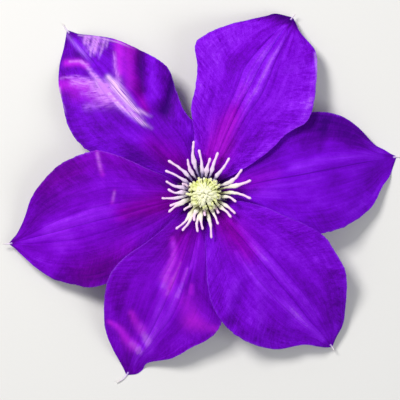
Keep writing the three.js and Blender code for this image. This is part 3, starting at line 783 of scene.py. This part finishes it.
def faceValues(number, sepal, u, v, marks):
    # what the materials read at a point of a blade
    gap = ribGap(u)
    ridges = sum(bell(v - place * gap, 0.34 * gap) for place in sepalLooks["ridges"])
    # the dark and light marks darken and lighten the tone with painted shade and painted highlights
    tone = 0.3 * (marks["light"] - marks["dark"]) - sepal["depth"]
    # the ridges get a painted highlight, and the very tip is darker
    tone += 0.14 * sepal["ribs"] * window(u, 0.1, 0.3, 0.9, 1) * ridges - 0.2 * smoothStep(u, 0.93, 1)
    # painted shade near the base, where the stamens shade the sepals
    tone -= 0.1 * (1 - smoothStep(u, 0.05, 0.25)) + 0.3 * (1 - smoothStep(u, 0.07, 0.15))
    base = 0.45 * bell(v, 0.45) * (1 - smoothStep(u, 0.12, 0.42))
    midCrease, sideCrease = sepal["creases"]
    return {
        "tone": tone, "blush": marks["blush"] + sepal["warmth"] + base, "magenta": marks["magenta"],
        "bleach": marks["bleach"] + sepalLooks["scratchBleach"] * marks["scratch"],
        "fan": marks["fan"] + sepalLooks["scratchFan"] * marks["scratch"],
        "shift": number * 3.7, "wander": ribWander(sepal, u, v), "nap": sepal["nap"],
        "midCrease": midCrease, "sideCrease": sideCrease, "alongBlade": u, "acrossBlade": v,
    }


def makeSepal(number, sepal, materials):
    looks = sepalLooks
    for side in ("left", "right"):
        sepal[side + "Half"] = curveThrough(stations, claw + sepal[side] + [tipHalf])
    start = bowl["clawStart"] / sepal["length"]
    bm = bmesh.new()
    bmesh.ops.create_grid(bm, x_segments=looks["alongCuts"], y_segments=looks["acrossCuts"], size=1)
    layers = {key: bm.verts.layers.float.new(key) for key in bladeLayers}
    wallShare = bm.verts.layers.deform.new()
    for vert in bm.verts:
        s, v = (vert.co.x + 1) / 2, vert.co.y
        u = start + (1 - start) * (1 - (1 - s) ** looks["crowding"])
        vert.co, marks = bladePoint(sepal, u, v)
        for key, value in faceValues(number, sepal, u, v, marks).items():
            vert[layers[key]] = value
        outer = smoothStep(max(abs(v), (u - 0.9) / 0.1), 0.3, 1)
        vert[wallShare][0] = between(1, looks["marginShare"], outer)
    uvLayer = bm.loops.layers.uv.new("bladeMap")
    along, across = layers["alongBlade"], layers["acrossBlade"]
    for face in bm.faces:
        for loop in face.loops:
            loop[uvLayer].uv = (loop.vert[along], (loop.vert[across] + 1) / 2)
    bmesh.ops.recalc_face_normals(bm, faces=bm.faces)
    if sum(face.normal.z for face in bm.faces) < 0:
        bmesh.ops.reverse_faces(bm, faces=bm.faces)
    piece = finishPiece(bm, f"sepal{number}", materials, "sepal", f"sepal_{number}")
    piece.vertex_groups.new(name="wallShare")
    wall = piece.modifiers.new("wall", "SOLIDIFY")
    wall.thickness = looks["thickness"] / 1000
    wall.offset = 1
    wall.vertex_group = "wallShare"
    wall.material_offset = 1
    wall.material_offset_rim = 2
    rim = piece.modifiers.new("rim", "BEVEL")
    rim.width = looks["rimWidth"] / 1000
    rim.segments = 2
    rim.limit_method = "ANGLE"
    rim.angle_limit = math.radians(looks["rimAngle"])


# turned bodies, and tubes that are turned and then bent along a curve

def turnedBody(bm, profile, sides):
    # profile is (height, radius) pairs that are turned round the upright line
    start = [bm.verts.new((radius, 0, height)) for height, radius in profile]
    edges = [bm.edges.new(pair) for pair in zip(start, start[1:])]
    bmesh.ops.spin(bm, geom=start + edges, cent=(0, 0, 0), axis=(0, 0, 1), angle=2 * math.pi,
                   steps=sides, use_merge=True, use_duplicate=False)


def bodyOnAxis(bm, profile, sides):
    turnedBody(bm, profile, sides)
    bmesh.ops.remove_doubles(bm, verts=bm.verts, dist=1e-4)
    bmesh.ops.translate(bm, verts=bm.verts, vec=(*bowl["axis"], 0))
    bmesh.ops.recalc_face_normals(bm, faces=bm.faces)


def addTube(bm, path, width, depth, sides, rings, endLength, rough=0.0, glow=0.0, violetShade=0.0):
    # path is a list of points. width and depth give the size sideways and upwards, at t from 0 to 1.
    part = bmesh.new()
    turnedBody(part, [(0, 0)] + [(i / rings, 1) for i in range(rings + 1)] + [(1, 0)], sides)
    bmesh.ops.remove_doubles(part, verts=part.verts, dist=1e-5)
    bmesh.ops.recalc_face_normals(part, faces=part.faces)
    spline = pathCurve(path)
    reach = endLength / (path[-1] - path[0]).length
    layers = {key: part.verts.layers.float.new(key) for key in ("share", "glow", "violetShade")}
    for vert in part.verts:
        t = clamp(vert.co.z)
        radial = Vector((vert.co.x, vert.co.y))
        rounding = max(0.12, math.sqrt(clamp(1 - max(0, (t - 1 + reach) / reach) ** 2)))
        centre, tangent = spline(t)
        rounding *= 1 + rough * noise.noise(centre * 0.9 + Vector((radial.x, radial.y, 0)) * 0.4)
        side = tangent.cross(Vector((0, 0, 1)))
        if side.length < 0.15:  # the path is nearly upright here
            side = Vector((1, 0, 0))
        side.normalize()
        up = side.cross(tangent)
        vert.co = centre + side * radial.x * width(t) / 2 * rounding + up * radial.y * depth(t) / 2 * rounding
        for key, value in (("share", t), ("glow", glow), ("violetShade", violetShade)):
            vert[layers[key]] = value
    bmesh.ops.recalc_face_normals(part, faces=part.faces)
    mergeInto(bm, part)


def pathCurve(path):
    # a smooth curve through the points, giving place and direction
    step = 0.01
    lengths = [0]
    for a, b in zip(path, path[1:]):
        lengths.append(lengths[-1] + (b - a).length)
    shares = [part / lengths[-1] for part in lengths]
    lines = [curveThrough(shares, [point[axis] for point in path]) for axis in range(3)]

    def place(t):
        here = Vector(line(t) for line in lines)
        ahead = Vector(line(min(1, t + step)) for line in lines)
        behind = Vector(line(max(0, t - step)) for line in lines)
        return here, (ahead - behind).normalized()
    return place


# stamens, in mm and degrees

stamenLooks = {
    "seed": 7301,
    # direction, reach from the axis and sideways bend of the long ones
    "outer": [
        (138, 16.3, -0.9), (150, 15.1, -0.6), (163, 13.5, 0.7), (174, 12.3, 0.9), (187, 14.4, 0.7),
        (201, 12.4, 0.1), (208.5, 13.6, -0.4), (232, 15.5, 0.8), (240, 14.7, 0.3), (251, 10, -0.5),
        (261, 13.3, -0.7), (268, 12.4, -0.8), (273, 7.7, 0), (279, 15.5, 0.4), (294, 11.6, 0.2),
        (305, 8.5, 0.2), (318, 12.3, 0.4), (326.5, 12.7, 0.6), (344, 11.2, 0.8), (353, 16, 1.3),
        (15, 16.4, -0.4), (32, 15.1, -1.5), (54, 14.6, -0.2), (71, 14.5, -0.1), (80, 12, 0.5),
        (97, 14.7, -0.3), (101, 17.8, 1.4), (116, 12.7, 0.7), (158, 8, -0.1), (220, 9, 0.3),
    ],
    "rootRadius": 3.9, "rootHeight": 11.4, "elbowRadius": 5.0, "elbowHeight": 13.2,
    "rootWidth": 0.6, "bellyWidth": 1.42, "tipWidth": 0.76, "depth": 0.8, "rough": 0.4,
    # the last is the direction whose stamens get the most painted bluish shade and painted lilac cast
    "lowHeight": 14.6, "tipHeight": 15.2, "heightSpread": 1.9, "violetShadeSide": 115,
    "curlCount": 46, "curlRough": 0.45, "curlRoot": 3.65, "curlRootHeight": 12.0, "curlElbow": 4.35,
    "collar": [
        (10.0, 2.4), (10.7, 3.6), (11.1, 4.7), (11.7, 4.85),
        (12.2, 4.4), (12.3, 3.4), (12.2, 2.4), (10.0, 2.4),
    ],
    # both ramps run from root to tip, and their dark root end, which also colours the collar, is painted
    # shade near the boss
    "warmStops": [
        (0.1, 78, 72, 40), (0.3, 198, 198, 152),
        (0.5, 250, 248, 228), (0.82, 255, 212, 250),
    ],
    # painted shade for the stamens on the upper and left side, dark bluish-violet towards the root, and a
    # painted lilac cast of light from the violet sepals over the rest
    "violetShadeStops": [
        (0.1, 60, 44, 112), (0.27, 130, 112, 172),
        (0.42, 240, 220, 250), (0.85, 255, 218, 253),
    ],
    # the curls darken to a dark olive at the root, painted shade in the crevices round the boss
    "curlStops": [
        (0.28, 66, 62, 24), (0.52, 180, 190, 80),
        (0.75, 234, 238, 166), (0.95, 255, 253, 226),
    ],
}


def makeStamenMaterial():
    material, tree, shader = newMaterial("stamenCream", 0.6, 0.25)
    mottle = evenNoise(tree, 900, 3)
    along = plus(tree, read(tree, "share"), centred(tree, mottle, 0.3))
    warm, violetShade, curl = (ramp(tree, along, stamenLooks[key + "Stops"]) for key in ("warm", "violetShade", "curl"))
    # the upper and left stamens take the ramp with painted bluish shade and a painted lilac cast
    colour = mixColour(tree, read(tree, "violetShade"), warm, violetShade)
    colour = mixColour(tree, read(tree, "glow"), colour, curl)
    paint(tree, shader, colour)
    addBump(tree, shader, mottle, 0.2)
    return material


def stamenWidth(t, swell, bellyAt):
    # narrow root, broad belly, then a thin blunt tip
    looks = stamenLooks
    plain = between(looks["rootWidth"], looks["tipWidth"], smoothStep(t, 0.3, 0.8))
    belly = swell * (looks["bellyWidth"] - looks["rootWidth"]) * bell(t - bellyAt, 0.15)
    return plain + belly + 0.1 * smoothStep(t, 0.86, 0.97)


def addStamen(bm, chance, direction, reach, bend):
    # a long one that leans out over the sepals
    looks = stamenLooks
    rise = looks["tipHeight"] + looks["heightSpread"] * chance.random()
    low = looks["lowHeight"] + 0.4 * chance.random()
    elbow = looks["elbowRadius"]

    def off(distance, amount, height):
        return aroundAxis(direction + math.degrees(amount / distance), distance, height)
    path = [
        aroundAxis(direction, looks["rootRadius"], looks["rootHeight"]),
        off(elbow, bend * 0.3, looks["elbowHeight"]),
        off(between(elbow, reach, 0.35), bend * 0.8 + jitter(chance, 0.35), low),
        off(between(elbow, reach, 0.64), bend + jitter(chance, 0.45), between(low, rise, 0.5)),
        aroundAxis(direction, reach, rise + 0.7 * (chance.random() - 0.3)),
    ]
    swell = 0.65 + 0.5 * chance.random()
    bellyAt = 0.4 + 0.16 * chance.random()
    # how much painted bluish shade and lilac cast the stamen takes, most on the upper and left side
    violetShade = smoothStep(math.cos(math.radians(direction - looks["violetShadeSide"])), -0.35, 0.65)
    addTube(bm, path, lambda t: stamenWidth(t, swell, bellyAt), lambda t: looks["depth"] * (1 - 0.25 * t),
            12, 32, 0.4, rough=looks["rough"], violetShade=violetShade)


def addCurl(bm, chance, i):
    # a short one that curls outwards beside the boss, in one of two rows
    looks = stamenLooks
    direction = 360 * (i + 0.8 * chance.random()) / looks["curlCount"]
    inner = i % 2
    low = math.cos(math.radians(direction + 60))  # 1 at the lower right
    reach = 5.1 + 1.3 * chance.random() - 0.7 * inner + 0.2 * low
    rise = 16.2 + 1.1 * inner + 0.7 * chance.random() + 0.5 * min(low, 0)
    turned = direction + jitter(chance, 34)
    elbow = looks["curlElbow"]
    path = [
        aroundAxis(direction, looks["curlRoot"], looks["curlRootHeight"]),
        aroundAxis(direction, 4.0, rise - 1.8),
        aroundAxis(between(direction, turned, 0.5), elbow, rise),
        aroundAxis(turned, between(elbow, reach, 0.6), rise + 0.15),
        aroundAxis(turned, reach, rise - 0.4 - 1.2 * chance.random()),
    ]
    head = 0.7 + 0.3 * chance.random()

    def width(t):
        return between(0.6, head, smoothStep(t, 0.45, 0.8))
    addTube(bm, path, width, lambda t: 0.65 * width(t), 12, 26, 0.4, rough=looks["curlRough"], glow=1.0)


def makeStamens():
    chance = random.Random(stamenLooks["seed"])
    bm = bmesh.new()
    for direction, reach, bend in stamenLooks["outer"]:
        addStamen(bm, chance, direction, reach, bend)
    for i in range(stamenLooks["curlCount"]):
        addCurl(bm, chance, i)
    collar = bmesh.new()
    bodyOnAxis(collar, stamenLooks["collar"], 48)
    mergeInto(bm, collar)
    finishPiece(bm, "stamenRing", [makeStamenMaterial()], "stamen", "stamens")


# the boss of pistils, in mm and degrees

bossLooks = {
    "seed": 4409,
    "base": 12.6, "radius": 3.6, "height": 5.8, "foot": 0.8, "coreTone": 0.75,
    "styles": 150, "spread": 4.45, "top": 19.0, "crown": 0.08, "splay": 2.3, "stepRound": 137.5,
    "thick": 0.74, "rough": 0.18, "limeSide": 110,
    # the styles darken to olive at the root, partly their own green and partly painted shade down between
    # them
    "stops": [(0.24, 108, 108, 36), (0.5, 232, 236, 142), (0.7, 255, 254, 222)],
    "green": (210, 220, 92),
}


def makeBossMaterial():
    material, tree, shader = newMaterial("silkyStyles", 0.5, 0.3, 0.35)
    mottle = evenNoise(tree, 1300, 3)
    along = plus(tree, read(tree, "share"), centred(tree, mottle, 0.25))
    patches = ease(tree, evenNoise(tree, 420, 2), 0.52, 0.66, 0.0, 0.25)
    greener = plus(tree, times(tree, read(tree, "glow"), 0.85), patches, clamped=True)
    colour = mixColour(tree, greener, ramp(tree, along, bossLooks["stops"]), bossLooks["green"])
    paint(tree, shader, colour)
    addBump(tree, shader, mottle, 0.1)
    return material


def addStyle(bm, chance, i):
    looks = bossLooks
    base, spread = looks["base"], looks["spread"]
    distance = spread * math.sqrt((i + 0.5) / looks["styles"]) + jitter(chance, 0.5)
    distance = clamp(distance, 0.1, spread)
    direction = i * looks["stepRound"] + math.degrees(jitter(chance, 0.35) / max(distance, 0.6))
    lean = looks["splay"] * (0.3 + 0.7 * distance / spread) * (0.7 + 0.6 * chance.random())
    root = max(0.1, min(distance, looks["radius"]) - lean)
    top = looks["top"] - looks["crown"] * distance * distance + jitter(chance, 0.85)
    turned = direction + jitter(chance, 44)
    path = [
        aroundAxis(direction, root, base + 1.4),
        aroundAxis(direction, root + 0.1 * lean, between(base, top, 0.75)),
        aroundAxis(turned, root + 0.5 * lean, top),
        aroundAxis(turned, distance + 0.3 * lean, top - 0.3),
    ]
    thick = looks["thick"] * (0.75 + 0.5 * chance.random())
    lime = 0.55 + 0.45 * math.cos(math.radians(direction - looks["limeSide"]))
    addTube(bm, path, lambda t: thick, lambda t: thick, 10, 14, 0.45,
            rough=looks["rough"], glow=lime * smoothStep(distance, 2.2, 4.2))


def makeBoss():
    chance = random.Random(bossLooks["seed"])
    base, radius, height, foot = (bossLooks[key] for key in ("base", "radius", "height", "foot"))
    profile = [(base, 0), (base, radius * 0.8), (base + foot, radius)]
    for turn in (0.3, 0.6, 0.9, 1.2, 1.4):
        profile.append((base + foot + (height - foot) * math.sin(turn), radius * math.cos(turn)))
    profile.append((base + height, 0))
    bm = bmesh.new()
    bodyOnAxis(bm, profile, 32)
    share = bm.verts.layers.float.new("share")
    for vert in bm.verts:
        vert[share] = bossLooks["coreTone"]
    for i in range(bossLooks["styles"]):
        addStyle(bm, chance, i)
    finishPiece(bm, "pistilBoss", [makeBossMaterial()], "pistil", "pistils")


# bristles at the sepal tips, in mm

bristleLooks = {
    "halfBlade": 0.2, "rootShare": 0.985,
    "stops": [(0.0, 176, 130, 224), (0.3, 226, 208, 240), (1.0, 236, 230, 226)],
}


def makeBristleMaterial():
    material, tree, shader = newMaterial("bristlePale", 0.6)
    paint(tree, shader, ramp(tree, read(tree, "share"), bristleLooks["stops"]))
    return material


def makeBristles():
    bm = bmesh.new()
    half = Vector((0, 0, bristleLooks["halfBlade"]))
    for sepal in sepals:
        root, tip = bladePoint(sepal, bristleLooks["rootShare"], 0)[0], bladePoint(sepal, 1, 0)[0]
        turn = math.radians(sepal["heading"])
        outward = Vector((math.cos(turn), math.sin(turn), 0))
        sideways = Vector((-math.sin(turn), math.cos(turn), 0))
        length, bend = sepal["point"]
        path = [
            root + half * 1.1,
            tip + half * 1.2,
            tip + half * 1.6 + outward * length * 0.5 + sideways * bend * 0.3,
            tip + half * 3.4 + outward * length + sideways * bend,
        ]
        addTube(bm, path, lambda t: 0.62 - 0.3 * t, lambda t: 0.43 - 0.15 * t, 10, 14, 0.25)
    finishPiece(bm, "tipBristles", [makeBristleMaterial()], "stalk", *[f"sepal_{i}" for i in range(1, 7)])


# stalk, in mm and degrees

stalkLooks = {
    "seed": 118,
    # the receptacle that the sepals grow from, as (height, radius)
    "receptacle": [
        (4.6, 0), (4.9, 1.4), (5.8, 1.7), (6.6, 2.1), (7.3, 2.8), (7.9, 3.6), (8.35, 4.5), (8.6, 4.55),
        (8.7, 4.3), (8.7, 2.1), (12.0, 2.1), (12.3, 1.8), (12.3, 0),
    ],
    "radius": 1.15, "heading": -81, "reach": 31, "lift": 0.35,
    "hairs": 260, "hairLength": 0.6, "hairRadius": 0.05, "hairTip": 0.012, "hairFloor": 0.5,
    "stops": [(0.3, 120, 146, 62), (0.55, 160, 178, 96), (0.8, 112, 84, 96)],
}


def makeStalkMaterial():
    material, tree, shader = newMaterial("stalkGreen", 0.6, sheen=0.3)
    mottle = evenNoise(tree, 260, 5)
    paint(tree, shader, ramp(tree, mottle, stalkLooks["stops"]))
    addBump(tree, shader, mottle, 0.3)
    return material


def makeStalk():
    looks = stalkLooks
    bm = bmesh.new()
    bodyOnAxis(bm, looks["receptacle"], 40)
    heading, radius = looks["heading"], looks["radius"]
    lying = radius + looks["lift"]
    path = [
        aroundAxis(heading, 0, 6.4),
        aroundAxis(heading, 0.35, 4.6),
        aroundAxis(heading, 2.4, 2.3),
        aroundAxis(heading + 1, 6.5, lying),
        aroundAxis(heading + 3, 14, lying + 0.1),
        aroundAxis(heading + 2, 22, lying + 0.05),
        aroundAxis(heading, looks["reach"], lying + 0.2),
    ]
    addTube(bm, path, lambda t: 2 * radius, lambda t: 2 * radius, 24, 70, 0.3)
    chance = random.Random(looks["seed"])
    along = pathCurve(path)
    for i in range(looks["hairs"]):
        place, tangent = along(0.12 + 0.86 * chance.random())
        side = tangent.cross(Vector((0, 0, 1))).normalized()
        around = math.radians(-60 + 300 * chance.random())
        outward = side * math.cos(around) + side.cross(tangent) * math.sin(around)
        lean = (outward + tangent * (chance.random() - 0.2)).normalized()
        middle = place + outward * radius + lean * 0.3 * looks["hairLength"]
        if middle.z < looks["hairFloor"]:
            continue
        turn = lean.to_track_quat("Z", "Y").to_matrix().to_4x4()
        bmesh.ops.create_cone(bm, cap_ends=True, segments=4, depth=looks["hairLength"],
                              radius1=looks["hairRadius"], radius2=looks["hairTip"],
                              matrix=Matrix.Translation(middle) @ turn)
    finishPiece(bm, "stalk1", [makeStalkMaterial()], "stalk", "stalk")


# making the scene

bpy.context.scene.view_settings.view_transform = "Standard"
makeCamera()
makeLamp("key")
makeLamp("fill")
makeSky()
makeFloor()
print("camera, light and floor are set")

bladeMaterials = [makeFaceMaterial(), makeBackMaterial(), makeEdgeMaterial()]
for number, sepal in enumerate(sepals, 1):
    makeSepal(number, sepal, bladeMaterials)
    print("sepal", number, "is made")
makeBristles()
print("bristles are made")
makeStamens()
print("stamens are made")
makeBoss()
print("boss is made")
makeStalk()
print("stalk is made")
